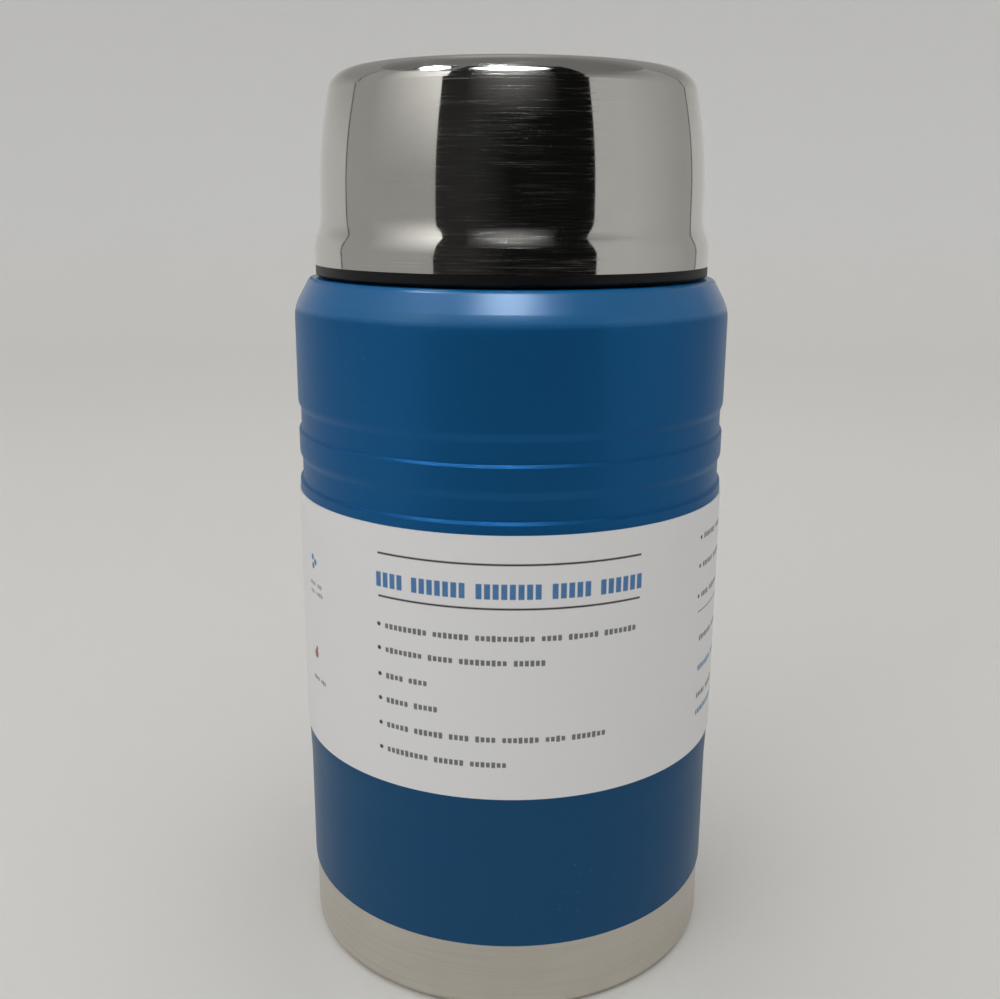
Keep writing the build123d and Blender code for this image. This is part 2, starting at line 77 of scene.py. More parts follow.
# Lights
WORLD = 0.86
WORLD_COLOUR = (1.0, 0.997, 0.99, 1.0)
LAMP_AIM = (0.0, 0.0, 0.11)
LAMP_AZIMUTH = -42.0
LAMP_ELEVATION = 27.0
LAMP_DISTANCE = 0.7
LAMP_SIZE = (0.45, 0.35)
LAMP_WATTS = 0.62

# What polished parts reflect: a white tent with a dark front opening
TENT_R = 0.90
TENT_TOP = 1.05
TENT_LEVEL = 0.38
TENT_TINT = (1.0, 0.985, 0.955)
LEFT_GLOW = (90.0, 44.0)  # degrees from the front where the glow on the wall begins and where it is full
RIGHT_GLOW = (116.0, 70.0)
SIDES_MIDDLE = 8.7
SIDES_REACH = 118.7  # degrees to each side of SIDES_MIDDLE, past which the back of the tent begins
CEILING_HOLE_R = 0.01
CEILING_GLOW_X = -0.06
CEILING_GLOW_Y = (0.3, 0.6)  # where the ceiling's glow begins and where it is full
OPENING = (-42.5, 46.5)
OPENING_PROFILE = ((0.75, -0.02), (0.75, 0.85), (0.62, 0.97), (0.42, 1.0))  # (radius, height)
SEAMS = ((-110.3, -109.0), (126.5, 127.9))
SEAM_R = TENT_R - 0.02
SEAM_LEVEL = 0.1
STRIP_Z = 0.6
STRIP_RADII = (0.23, 0.38)
STRIPS = ((-35.0, 31.0, 58.0), (-80.0, -49.0, 50.0))  # start, end and strength
LAMP_TINT = (0.88, 0.95, 1.0)
FRONT_FLOOR = (0.06, 0.18, 0.42, 0.85)  # radii: bright up to the second, dim from the third
FRONT_FLOOR_LEVELS = (0.5, 0.16)
FRONT_FLOOR_SIDES = ((-26.0, -52.0, 0.56), (30.0, 60.0, 0.46))  # begins, is full, and its level
FRONT_FLOOR_Z = 0.001
FRONT_FLOOR_TURN = (-52.0, 130.0)

# How the reflected light changes, as (from, to, level at the first, level at the second)
LEFT_RISE = (0.26, 1.0, 0.0, 1.2)  # with height, like the next three
RIGHT_RISE = (0.6, 0.9, 0.15, -0.16)
BACK_RISE = (0.3, 0.6, 0.17, -0.06)
OPENING_RISE = (0.44, 0.85, 0.0, 0.42)
OPENING_FADE = (0.08, 0.48, 1.0, 0.0)  # with radians to either side of the front
OPENING_DIM = (0.0, -0.35, 0.006, 0.024)  # with radians from the front
CEILING_RISE = (0.2, 0.9, 0.2, 0.32)  # along Y
CEILING_GLOW = (0.08, 0.22, 0.2, 0.0)  # with distance from CEILING_GLOW_X
STRIP_FADE = (0.45, 1.0, 1.0, 0.0)  # from a lamp's middle, its edge being at 1

# Steel colours, each dull and bright
CAP_STEEL = ((0.60, 0.589, 0.555), (0.66, 0.651, 0.618))
NECK_STEEL = ((0.56, 0.55, 0.53), (0.68, 0.67, 0.65))
SPOON_STEEL = ((0.60, 0.595, 0.58), (0.70, 0.69, 0.67))
DUST = (0.8, 0.8, 0.8)

# Blue powder coat
BLUE = ((0.0062, 0.098, 0.270), (0.0078, 0.105, 0.288))
BLUE_GRAIN = (0.0052, 0.084, 0.234)
# Darker towards the bottom: painted shade, with the floor's reflection painted in as a redder tint
BLUE_LOW_PAINTED_SHADE = (0.0125, 0.076, 0.182)
# Lighter on the sloped shoulder, which faces the light from above: painted light
BLUE_SLOPE_PAINTED_LIGHT = (0.0025, 0.124, 0.335)
LINT = (0.45, 0.5, 0.55)
LOW_FROM_Z = 0.105  # the blue turns darker and redder from here down: painted shade, with the floor's reflection painted in as a redder tint
LOW_TO_Z = 0.055
SHOULDER_Z = 0.15385  # foot of the sloped shoulder
SHOULDER_TOP_Z = 0.16035
BARE_NECK_R = 0.0385  # the neck is bare steel within this radius

# Vent spring
SPRING_TURNS = 3
SPRING_STEPS = 40  # points in each turn
SPRING_SIDES = 10
SPRING_WIRE_R = 0.35 * MM

# Label paper and inks
LABEL_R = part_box("label_band")[1].x  # outside radius
PAPER = (0.80, 0.80, 0.81)
PAPER_SHADE = 0.985
PAPER_FIBRE = (0.6, 0.6, 0.6)
INK_BLACK = (0.025, 0.024, 0.026)
INK_GREY = (0.15, 0.15, 0.155)
INK_PALE = (0.3, 0.3, 0.33)
INK_BLUE = (0.045, 0.18, 0.42)
INK_RED = (0.34, 0.09, 0.06)

# Label print, in millimetres: arc length round the jar from the front line, and height
TITLE_LEFT = -30.0
TITLE_PITCH = 1.76
TITLE_Z = 100.0
TITLE_H = 3.3
TEXT_LEFT = -27.8
SIDE_LEFT = 52.4
TEXT_PITCH = 1.15
TEXT_H = 1.2
SIDE_H = 1.25
SIDE_BLUE_H = 1.3
SIGN_PITCH = 0.9
SIGN_H = 0.9
DOT = 0.95  # width
DOT_ARC = -29.3
DOT_RISE = 0.15
SIDE_DOT_ARC = 51.0
SIDE_DOTS = 3  # rows of side text that start with a dot
ROW_STEP = 5.8  # rows of blocks are numbered by this step, from ROW_FOOT up
ROW_FOOT = 58.3
CORNER = 0.5  # radius
SOFT = 0.1  # half width of a bar's soft edge
UNEVEN = 0.16  # share by which the height of a block varies
BLOCK_FADE = (0.31, 0.40)  # where a block ends, as shares of the pitch from its middle

# Rules as (left, right, height, thickness), rows of words as (height, blocks in each word)
RULES = [(-29.3, 29.3, 105.8, 0.45), (-29.3, 29.3, 96.3, 0.45), (51.0, 88.0, 87.4, 0.25)]
TITLE = [4, 7, 8, 5, 6]
FRONT_ROWS = [
    (89.8, [9, 7, 11, 4, 6, 7]),
    (84.4, [8, 5, 9, 6]),
    (78.4, [4, 4]),
    (72.8, [5, 5]),
    (67.0, [5, 6, 4, 4, 7, 4, 7]),
    (61.2, [9, 6, 7]),
]
SIDE_ROWS = [
    (105.1, [7, 5, 8, 4]),
    (98.4, [6, 9, 5]),
    (91.2, [4, 7, 7, 4]),
    (80.6, [8, 6, 5]),
    (66.3, [5, 8, 4]),
]
SIDE_BLUES = [(73.2, [9, 11]), (62.1, [12, 7])]

# Small round marks on the left as (arc, height, width), and the words under them as (left, height, blocks)
UPPER_SIGN = [(-54.7, 98.9, 1.5), (-53.1, 98.0, 1.5), (-54.5, 96.9, 1.5)]
LOWER_SIGN = [(-54.3, 75.6, 2.2), (-53.9, 77.0, 1.1)]
UPPER_SIGN_ROWS = [(-57.0, 92.6, [4, 3]), (-56.6, 90.6, [3, 4])]
LOWER_SIGN_ROWS = [(-56.6, 69.4, [4, 3])]


# ---- Node graphs ----


class Graph:
    """A Principled material, with short calls for the nodes that feed it."""

    def __init__(self, name, **settings):
        self.material = bpy.data.materials.new(name)
        self.material.use_nodes = True
        self.nodes = self.material.node_tree.nodes
        self.links = self.material.node_tree.links
        self.shader = self.nodes["Principled BSDF"]
        self.coords = self.nodes.new("ShaderNodeTexCoord").outputs["Object"]
        for key, value in settings.items():
            self.shader.inputs[key.replace("_", " ")].default_value = value

    def node(self, kind, inputs=(), **properties):
        made = self.nodes.new("ShaderNode" + kind)
        for key, value in properties.items():
            setattr(made, key, value)
        for socket, value in dict(inputs).items():
            self.feed(made.inputs[socket], value)
        return made

    def feed(self, socket, value):
        if isinstance(value, bpy.types.NodeSocket):
            self.links.new(value, socket)
        else:
            socket.default_value = value

    def set(self, **values):
        """Feeds the shader's own inputs."""
        for key, value in values.items():
            self.feed(self.shader.inputs[key.replace("_", " ")], value)

    def math(self, operation, *values):
        made = self.node("Math", operation=operation)
        for index, value in enumerate(values):
            self.feed(made.inputs[index], value)
        return made.outputs[0]

    def add(self, a, b):
        return self.math("ADD", a, b)

    def subtract(self, a, b):
        return self.math("SUBTRACT", a, b)

    def times(self, a, b):
        return self.math("MULTIPLY", a, b)

    def size(self, value):
        """The value without its sign."""
        return self.math("ABSOLUTE", value)

    def length(self, a, b):
        """How far the point (a, b) lies from (0, 0)."""
        return self.math("SQRT", self.add(self.times(a, a), self.times(b, b)))

    def vector(self, x=0.0, y=0.0, z=0.0):
        return self.node("CombineXYZ", {0: x, 1: y, 2: z}).outputs[0]

    def axes(self):
        split = self.node("SeparateXYZ", {0: self.coords})
        return split.outputs[0], split.outputs[1], split.outputs[2]

    def polar(self):
        """Radius, angle from the front line (radians, towards +X) and height."""
        x, y, z = self.axes()
        angle = self.math("ARCTAN2", x, self.times(y, -1.0))
        return self.length(x, y), angle, z

    def stretched(self, x, y, z):
        """The object's coordinates, scaled along each axis."""
        return self.node("Mapping", {"Vector": self.coords, "Scale": (x, y, z)}).outputs[0]

    def noise(self, coords, scale, detail=2.0, roughness=0.5):
        inputs = {"Vector": coords, "Scale": scale, "Detail": detail, "Roughness": roughness}
        return self.node("TexNoise", inputs).outputs["Fac"]

    def cells(self, coords, scale, feature="F1"):
        made = self.node("TexVoronoi", {"Vector": coords, "Scale": scale}, feature=feature)
        return made.outputs["Distance"]

    def remap(self, value, low, high, to_low=0.0, to_high=1.0):
        inputs = {"Value": value, "From Min": low, "From Max": high, "To Min": to_low, "To Max": to_high}
        return self.node("MapRange", inputs, clamp=True).outputs["Result"]

    def mix(self, factor, a, b):
        made = self.node("Mix", data_type="RGBA")
        self.feed(made.inputs["Factor"], factor)
        for socket, colour in ((made.inputs[6], a), (made.inputs[7], b)):
            self.feed(socket, (*colour, 1.0) if isinstance(colour, tuple) else colour)
        return made.outputs[2]

    def bump(self, height, distance, strength, normal=None):
        made = self.node("Bump", {"Height": height, "Distance": distance, "Strength": strength})
        if normal is not None:
            self.links.new(normal, made.inputs["Normal"])
        return made.outputs["Normal"]

    def use_on(self, *names):
        for name in names:
            slots = NODES[name].material_slots
            if not slots:
                NODES[name].data.materials.append(self.material)
            for slot in slots:
                slot.material = self.material


def turning_lines(graph, rings, along=1.5, detail=3.0):
    """Fine lines round the jar's axis, as from spinning or polishing on a lathe: rings to the metre."""
    radius, angle, z = graph.polar()
    coords = graph.vector(graph.times(angle, along), graph.times(radius, rings), z)
    rows = graph.node("Mapping", {"Vector": coords, "Scale": (1.0, 1.0, rings)}).outputs[0]
    return graph.noise(rows, 1.0, detail=detail, roughness=0.6)


# ---- Meshes and objects ----


def new_mesh(name, vertices, faces):
    mesh = bpy.data.meshes.new(name)
    mesh.from_pydata(vertices, [], faces)
    return mesh


def new_object(name, data):
    made = bpy.data.objects.new(name, data)
    bpy.context.collection.objects.link(made)
    return made


def round_axis(radius, turn, z):
    """The point at a radius and an angle (radians) from the front."""
    return (radius * math.sin(turn), -radius * math.cos(turn), z)


# ---- Materials ----


def polished_steel():
    """Steel polished on a lathe. Its fine lines spread highlights up and down, and hardly sideways."""
    dull, bright = CAP_STEEL
    graph = Graph("polished_steel", Metallic=1.0, IOR=2.2, Anisotropic=0.8, Anisotropic_Rotation=0.25)
    graph.set(Tangent=graph.node("Tangent", direction_type="RADIAL", axis="Z").outputs[0])
    lines = turning_lines(graph, 2600.0)
    streaks = turning_lines(graph, 2400.0, along=7.0, detail=2.0)
    hair = turning_lines(graph, 9000.0, along=3.0, detail=2.0)
    smears = graph.noise(graph.coords, 28.0, detail=4.0, roughness=0.65)
    dust = graph.cells(graph.coords, 240.0)
    rough = graph.remap(streaks, 0.48, 0.78, 0.04, 0.11)
    rough = graph.add(rough, graph.remap(smears, 0.5, 0.8, 0.0, 0.04))
    rough = graph.add(rough, graph.remap(hair, 0.53, 0.68, 0.0, 0.165))
    tint = graph.mix(graph.remap(smears, 0.35, 0.75), bright, dull)
    tint = graph.mix(graph.remap(dust, 0.0, 0.06, 0.5, 0.0), tint, DUST)
    fine = graph.bump(lines, 0.003 * MM, 0.6)
    graph.set(Base_Color=tint, Roughness=rough, Normal=graph.bump(streaks, 0.0012 * MM, 0.6, fine))
    graph.use_on("cap_shell")


def blue_colour(graph, grain, tone, low, slope):
    """The powder coat's colour, with its grain, soft patches and specks of lint, painted shade low down
    and painted light on the sloped shoulder.
    """
    specks = graph.remap(graph.cells(graph.coords, 520.0), 0.0, 0.09, 1.0, 0.0)
    lint = graph.times(specks, graph.remap(tone, 0.5, 0.62))
    blue = graph.mix(graph.remap(tone, 0.3, 0.7), *BLUE)
    blue = graph.mix(graph.remap(grain, 0.3, 0.7, 0.0, 0.14), blue, BLUE_GRAIN)
    # Painted shade low on the body, with the floor's reflection painted in
    blue = graph.mix(low, blue, BLUE_LOW_PAINTED_SHADE)
    # Painted light on the sloped shoulder
    blue = graph.mix(slope, blue, BLUE_SLOPE_PAINTED_LIGHT)
    return graph.mix(graph.times(lint, 0.4), blue, LINT)


def blue_coat():
    """Powder coat over steel, glossier on the sloped shoulder, its colour painted lighter there where
    light from above falls and darker towards the bottom as painted shade. The neck, above it, is left
    bare.
    """
    graph = Graph(
        "blue_coat",
        IOR=1.25,
        Specular_Tint=(0.8, 0.92, 1.0, 1.0),
        Coat_Roughness=0.3,
        Coat_IOR=2.0,
    )
    radius, angle, z = graph.polar()
    bare = graph.math("LESS_THAN", radius, BARE_NECK_R)
    low = graph.remap(z, LOW_FROM_Z, LOW_TO_Z)
    slope = graph.remap(z, SHOULDER_Z - 0.8 * MM, SHOULDER_Z + 0.4 * MM)
    peel = graph.noise(graph.coords, 900.0)
    grain = graph.noise(graph.coords, 3200.0, detail=1.0)
    tone = graph.noise(graph.coords, 14.0, detail=3.0)
    blue = blue_colour(graph, grain, tone, low, slope)
    steel = graph.mix(turning_lines(graph, 1500.0), *NECK_STEEL)
    rough = graph.add(graph.remap(grain, 0.3, 0.7, 0.34, 0.37), graph.times(slope, -0.12))
    flake = graph.subtract(graph.remap(low, 0.0, 1.0, 0.42, 0.28), graph.times(slope, 0.42))
    gloss = graph.times(slope, graph.remap(z, SHOULDER_TOP_Z - 0.8 * MM, SHOULDER_TOP_Z, 0.26, 0.0))
    graph.set(Base_Color=graph.mix(bare, blue, steel), Metallic=graph.math("MAXIMUM", flake, bare))
    graph.set(Roughness=rough, Coat_Weight=gloss)
    fine = graph.bump(grain, 0.0015 * MM, 0.6)
    graph.set(Normal=graph.bump(peel, 0.006 * MM, 0.5, fine))
    graph.use_on("outer_shell")


def brushed_steel(name, nodes, dull, bright, rough, rings=2600.0):
    """Turned steel with fine and wide rings. Rough is the least and most roughness."""
    graph = Graph(name, Metallic=1.0)
    lines = turning_lines(graph, rings)
    wide = turning_lines(graph, rings / 8, along=0.5)
    wear = graph.noise(graph.stretched(1.0, 1.0, 0.4), 70.0, detail=4.0, roughness=0.6)
    both = graph.add(graph.times(lines, 0.85), graph.times(wide, 0.15))
    tint = graph.mix(graph.remap(both, 0.3, 0.7), dull, bright)
    tint = graph.mix(graph.remap(wear, 0.4, 0.8, 0.0, 0.5), tint, dull)
    graph.set(Base_Color=tint, Roughness=graph.remap(both, 0.3, 0.7, *rough))
    graph.set(Normal=graph.bump(lines, 0.004 * MM, 0.6))
    graph.use_on(*nodes)


def spoon_steel():
    """Pressed steel, polished along the spoon."""
    graph = Graph("spoon_steel", Metallic=1.0)
    lines = graph.noise(graph.stretched(40.0, 2200.0, 2200.0), 1.0, detail=3.0, roughness=0.6)
    smears = graph.noise(graph.coords, 90.0, detail=3.0)
    rough = graph.add(graph.remap(lines, 0.3, 0.7, 0.12, 0.2), graph.remap(smears, 0.5, 0.8, 0.0, 0.1))
    graph.set(Base_Color=graph.mix(lines, *SPOON_STEEL), Roughness=rough)
    graph.set(Normal=graph.bump(lines, 0.004 * MM, 0.6))
    graph.use_on("spoon_bowl", "spoon_handle")


def small_metal(name, nodes, dark, light, rough, scale=900.0):
    """Metal with a fine grain and soft blotches, for the small and hidden parts."""
    graph = Graph(name, Metallic=1.0)
    grain = graph.noise(graph.coords, scale, detail=3.0, roughness=0.6)
    blotch = graph.noise(graph.coords, scale / 9, detail=3.0)
    tint = graph.mix(graph.times(graph.add(grain, blotch), 0.5), dark, light)
    graph.set(Base_Color=tint, Roughness=graph.remap(grain, 0.3, 0.7, rough - 0.06, rough + 0.08))
    graph.set(Normal=graph.bump(grain, 0.01 * MM, 0.5))
    graph.use_on(*nodes)


def moulded(name, nodes, dark, light, rough, texture=1500.0, ior=1.48):
    """Moulded plastic or rubber: a fine spark-eroded texture with faint rubbed patches."""
    graph = Graph(name, IOR=ior)
    grain = graph.noise(graph.coords, texture, roughness=0.6)
    rubbed = graph.noise(graph.coords, 45.0, detail=3.0)
    lint = graph.remap(graph.cells(graph.coords, 420.0), 0.0, 0.07, 0.35, 0.0)
    tint = graph.mix(graph.remap(grain, 0.3, 0.7), dark, light)
    speck = tuple(min(1.0, channel * 3 + 0.04) for channel in light)
    graph.set(Base_Color=graph.mix(lint, tint, speck))
    graph.set(Roughness=graph.remap(rubbed, 0.35, 0.7, rough + 0.05, rough - 0.06))
    graph.set(Normal=graph.bump(grain, 0.015 * MM, 0.6))
    graph.use_on(*nodes)


def foam(name, nodes, dark, light):
    """Foam with open pores, each pore darker in its middle: painted shade inside the pores."""
    graph = Graph(name, IOR=1.4, Roughness=0.95)
    pores = graph.cells(graph.coords, 1600.0, feature="SMOOTH_F1")
    tone = graph.noise(graph.coords, 120.0, detail=3.0)
    # The dark middle of each pore is painted shade
    graph.set(Base_Color=graph.mix(graph.remap(pores, 0.15, 0.6), dark, graph.mix(tone, dark, light)))
    graph.set(Normal=graph.bump(pores, 0.2 * MM, 0.8))
    graph.use_on(*nodes)


def metal_parts():
    brushed_steel(
        "bare_steel",
        ("base_cup", "base_cover"),
        dull=(0.58, 0.545, 0.48),
        bright=(0.67, 0.635, 0.565),
        rough=(0.30, 0.38),
    )
    brushed_steel(
        "liner_steel",
        ("inner_liner",),
        dull=(0.50, 0.49, 0.47),
        bright=(0.64, 0.63, 0.61),
        rough=(0.24, 0.36),
        rings=1100.0,
    )
    small_metal(
        "spring_steel",
        ("vent_stem", "spoon_pin", "getter_clip"),
        dark=(0.40, 0.4, 0.4),
        light=(0.6, 0.6, 0.59),
        rough=0.3,
    )
    small_metal(
        "copper",
        ("copper_layer",),
        dark=(0.62, 0.27, 0.16),
        light=(0.80, 0.42, 0.27),
        rough=0.32,
        scale=260.0,
    )
    small_metal("braze", ("vacuum_seal",), dark=(0.42, 0.34, 0.2), light=(0.62, 0.52, 0.34), rough=0.42)
    small_metal(
        "getter_alloy",
        ("getter",),
        dark=(0.12, 0.12, 0.125),
        light=(0.26, 0.26, 0.27),
        rough=0.55,
        scale=1500.0,
    )


def plastic_parts():
    moulded(
        "dark_plastic",
        ("lid_body", "plug_cup"),
        dark=(0.005, 0.005, 0.006),
        light=(0.012, 0.012, 0.013),
        rough=0.34,
    )
    moulded(
        "liner_plastic",
        ("cap_liner",),
        dark=(0.002, 0.002, 0.0025),
        light=(0.005, 0.005, 0.006),
        rough=0.42,
        ior=1.32,
    )
    moulded(
        "button_plastic",
        ("vent_button",),
        dark=(0.20, 0.21, 0.22),
        light=(0.26, 0.27, 0.28),
        rough=0.38,
    )
    moulded(
        "silicone",
        ("lid_gasket", "vent_poppet"),
        dark=(0.42, 0.42, 0.41),
        light=(0.52, 0.52, 0.50),
        rough=0.55,
        texture=700.0,
    )
    foam(
        "foam",
        ("plug_foam", "cap_insulation", "cap_spacer"),
        dark=(0.55, 0.53, 0.45),
        light=(0.80, 0.78, 0.70),
    )


# ---- Vent spring ----


def spring_mesh(coil_r, low_z, high_z):
    """A round wire wound SPRING_TURNS times between two heights, with closed ends."""
    rows = SPRING_TURNS * SPRING_STEPS + 1
    vertices = []
    for row in range(rows):
        share = row / (rows - 1)
        turn = 2 * math.pi * SPRING_TURNS * share
        z = low_z + (high_z - low_z) * share
        for side in range(SPRING_SIDES):
            round_wire = 2 * math.pi * side / SPRING_SIDES
            radius = coil_r + SPRING_WIRE_R * math.cos(round_wire)
            rise = SPRING_WIRE_R * math.sin(round_wire)
            vertices.append((radius * math.cos(turn), radius * math.sin(turn), z + rise))
    last = (rows - 1) * SPRING_SIDES
    faces = []
    for start in range(0, last, SPRING_SIDES):
        for side in range(SPRING_SIDES):
            here = start + side
            beside = start + (side + 1) % SPRING_SIDES
            faces.append((here, here + SPRING_SIDES, beside + SPRING_SIDES, beside))
    faces.append(tuple(range(SPRING_SIDES)))
    faces.append(tuple(range(last + SPRING_SIDES - 1, last - 1, -1)))
    mesh = new_mesh("spring_coil", vertices, faces)
    mesh.shade_smooth()
    return mesh


def vent_spring():
    """The coil spring under the vent button."""
    low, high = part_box("vent_spring")
    mesh = spring_mesh(high.x - SPRING_WIRE_R, low.z + SPRING_WIRE_R, high.z - SPRING_WIRE_R)
    mesh.materials.append(bpy.data.materials["spring_steel"])
    spring = new_object("spring_coil", mesh)
    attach(spring, "lid")
    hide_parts("vent_spring")
    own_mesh(spring)


# ---- Label ----


def label_place(graph):
    """Arc length from the front line and height, in millimetres, and 1 for bars that aren't squeezed."""
    radius, angle, z = graph.polar()
    return graph.times(angle, LABEL_R / MM), graph.times(z, 1 / MM), 1.0


def bar(graph, place, left, right, middle_z, height, corner=CORNER):
    """1 inside a bar with eased corners on the label, 0 outside."""
    arc, z, squeeze = place
    corner = min(corner, height / 2)
    sideways = graph.size(graph.subtract(arc, (left + right) / 2))
    upward = graph.times(graph.size(graph.subtract(z, middle_z)), squeeze)
    past_side = graph.math("MAXIMUM", graph.subtract(sideways, (right - left) / 2 - corner), 0.0)
    past_top = graph.math("MAXIMUM", graph.subtract(upward, height / 2 - corner), 0.0)
    return graph.remap(graph.length(past_side, past_top), corner - SOFT, corner + SOFT, 1.0, 0.0)


def bars(graph, place, items):
    """The union of several bars, each (left, right, middle_z, height) and perhaps a corner radius."""
    total = bar(graph, place, *items[0])
    for item in items[1:]:
        total = graph.math("MAXIMUM", total, bar(graph, place, *item))
    return total


def blocks(graph, place, left, pitch, items, uneven=UNEVEN):
    """The bars cut into equal blocks, one each pitch, with slightly uneven heights."""
    arc, z = place[:2]
    cell = graph.math("DIVIDE", graph.subtract(arc, left), pitch)
    off_middle = graph.size(graph.subtract(graph.math("FRACT", cell), 0.5))
    row = graph.math("FLOOR", graph.math("DIVIDE", graph.subtract(z, ROW_FOOT), ROW_STEP))
    number = graph.vector(graph.math("FLOOR", cell), row)
    varied = graph.node("TexWhiteNoise", {"Vector": number}).outputs["Value"]
    squeeze = graph.remap(varied, 0.0, 1.0, 1.0 - uneven, 1.0 + uneven)
    inside = graph.remap(off_middle, *BLOCK_FADE, 1.0, 0.0)
    return graph.times(bars(graph, (arc, z, squeeze), items), inside)


def words(left, pitch, counts, middle_z, height):
    """A row of bars, each as long as so many blocks, one block apart."""
    row = []
    for count in counts:
        row.append((left, left + count * pitch, middle_z, height))
        left += (count + 1) * pitch
    return row


def text(left, rows, height):
    """Several rows of words below each other."""
    items = []
    for middle_z, counts in rows:
        items += words(left, TEXT_PITCH, counts, middle_z, height)
    return items


def sign_text(rows):
    """The rows of words under a sign, each with its own left end."""
    items = []
    for left, middle_z, counts in rows:
        items += words(left, SIGN_PITCH, counts, middle_z, SIGN_H)
    return items


def disc(arc, z, across):
    """A bar so short and so rounded that it is a disc."""
    return (arc - across / 2, arc + across / 2, z, across, across / 2)


def printed(graph, place):
    """Each ink of the label, with the mask of what it prints."""
    title = words(TITLE_LEFT, TITLE_PITCH, TITLE, TITLE_Z, TITLE_H)
    front = text(TEXT_LEFT, FRONT_ROWS, TEXT_H)
    side = text(SIDE_LEFT, SIDE_ROWS, SIDE_H)
    side_blue = text(SIDE_LEFT, SIDE_BLUES, SIDE_BLUE_H)
    dots = [disc(DOT_ARC, middle_z + DOT_RISE, DOT) for middle_z, counts in FRONT_ROWS]
    dots += [disc(SIDE_DOT_ARC, middle_z, DOT) for middle_z, counts in SIDE_ROWS[:SIDE_DOTS]]
    upper_left = UPPER_SIGN_ROWS[0][0]
    lower_left = LOWER_SIGN_ROWS[0][0]
    return (
        (INK_GREY, blocks(graph, place, TEXT_LEFT, TEXT_PITCH, front)),
        (INK_GREY, blocks(graph, place, SIDE_LEFT, TEXT_PITCH, side)),
        (INK_BLUE, blocks(graph, place, SIDE_LEFT, TEXT_PITCH, side_blue)),
        (INK_BLUE, blocks(graph, place, TITLE_LEFT, TITLE_PITCH, title, uneven=0.0)),
        (INK_BLACK, bars(graph, place, RULES + dots)),
        (INK_BLUE, bars(graph, place, [disc(*mark) for mark in UPPER_SIGN])),
        (INK_RED, bars(graph, place, [disc(*mark) for mark in LOWER_SIGN])),
        (INK_RED, blocks(graph, place, lower_left, SIGN_PITCH, sign_text(LOWER_SIGN_ROWS))),
        (INK_PALE, blocks(graph, place, upper_left, SIGN_PITCH, sign_text(UPPER_SIGN_ROWS))),
    )


def label_paper():
    """Smooth white paper with a faint fibre, printed with rules, rows of blocks and small round marks."""
    graph = Graph("label_paper", IOR=1.47)
    fibre = graph.noise(graph.stretched(1.0, 1.0, 0.6), 1400.0, detail=4.0, roughness=0.7)
    tone = graph.noise(graph.coords, 9.0)
    shaded = tuple(channel * PAPER_SHADE for channel in PAPER)
    colour = graph.mix(graph.remap(tone, 0.3, 0.7), PAPER, shaded)
    colour = graph.mix(graph.remap(fibre, 0.35, 0.75, 0.0, 0.05), colour, PAPER_FIBRE)
    fade = graph.remap(fibre, 0.35, 0.75, 1.0, 0.93)
    for ink, mask in printed(graph, label_place(graph)):
        colour = graph.mix(graph.times(mask, fade), colour, ink)
    graph.set(Base_Color=colour, Roughness=graph.remap(fibre, 0.3, 0.7, 0.42, 0.52))
    graph.set(Normal=graph.bump(fibre, 0.008 * MM, 0.4))
    graph.use_on("label_band")


# ---- Floor and wall ----


def sweep_points():
    """Floor and wall in one curved line, as (radius, height)."""
    bend = WALL_R - FLOOR_R
    points = [(0.0, 0.0), (FLOOR_INNER_R, 0.0), (FLOOR_R, 0.0)]
    for degrees in range(BEND_STEP, 90 + BEND_STEP, BEND_STEP):
        turn = math.radians(degrees)
        points.append((FLOOR_R + bend * math.sin(turn), bend * (1 - math.cos(turn))))
    return points + [(WALL_R, WALL_H)]


def lathe(name, points, steps=96):
    """A surface of revolution from (radius, height) points, the first of them on the axis."""
    vertices = [(0.0, 0.0, points[0][1])]
    for step in range(steps):
        turn = 2 * math.pi * step / steps
        vertices += [round_axis(radius, turn, z) for radius, z in points[1:]]
    size = len(points) - 1
    faces = []
    for step in range(steps):
        here = 1 + step * size
        there = 1 + (step + 1) % steps * size
        faces.append((0, here, there))
        faces += [(here + i, here + i + 1, there + i + 1, there + i) for i in range(size - 1)]
    mesh = new_mesh(name, vertices, faces)
    mesh.shade_smooth()
    return new_object(name, mesh)


def stage_material():
    """A matt, pale surface, slightly warmer on the floor than on the wall."""
    graph = Graph("stage", Roughness=0.8, IOR=1.3)
    height = graph.axes()[2]
    tone = graph.noise(graph.coords, 3.0)
    colour = graph.mix(graph.remap(height, 0.0, 0.15), FLOOR_COLOUR, WALL_COLOUR)
    graph.set(Base_Color=graph.mix(graph.times(tone, 0.06), colour, STAGE_SHADE))
    return graph.material


def floor_and_wall():
    floor = lathe("sweep", sweep_points())
    floor.data.materials.append(stage_material())


# ---- What polished parts reflect ----


def glow(name, level, tint=TENT_TINT):
    """A surface that only gives off light. level(graph) returns how much."""
    graph = Graph(name, Base_Color=(0.0, 0.0, 0.0, 1.0), Roughness=1.0, Specular_IOR_Level=0.0)
    graph.set(Emission_Color=(*tint, 1.0), Emission_Strength=level(graph))
    return graph.material


def curved_card(name, profile, start, end, material, steps=40):
    """A card that sweeps (radius, height) points round the jar and only shows in reflections."""
    vertices = []
    for step in range(steps + 1):
        turn = math.radians(start + (end - start) * step / steps)
        vertices += [round_axis(radius, turn, z) for radius, z in profile]
    size = len(profile)
    faces = []
    for here in range(0, steps * size, size):
        there = here + size
        faces += [(here + i, here + i + 1, there + i + 1, there + i) for i in range(size - 1)]
    mesh = new_mesh(name, vertices, faces)
    mesh.materials.append(material)
    made = new_object(name, mesh)
    made.visible_camera = False
    made.visible_diffuse = False
    made.visible_shadow = False
    made.visible_transmission = False


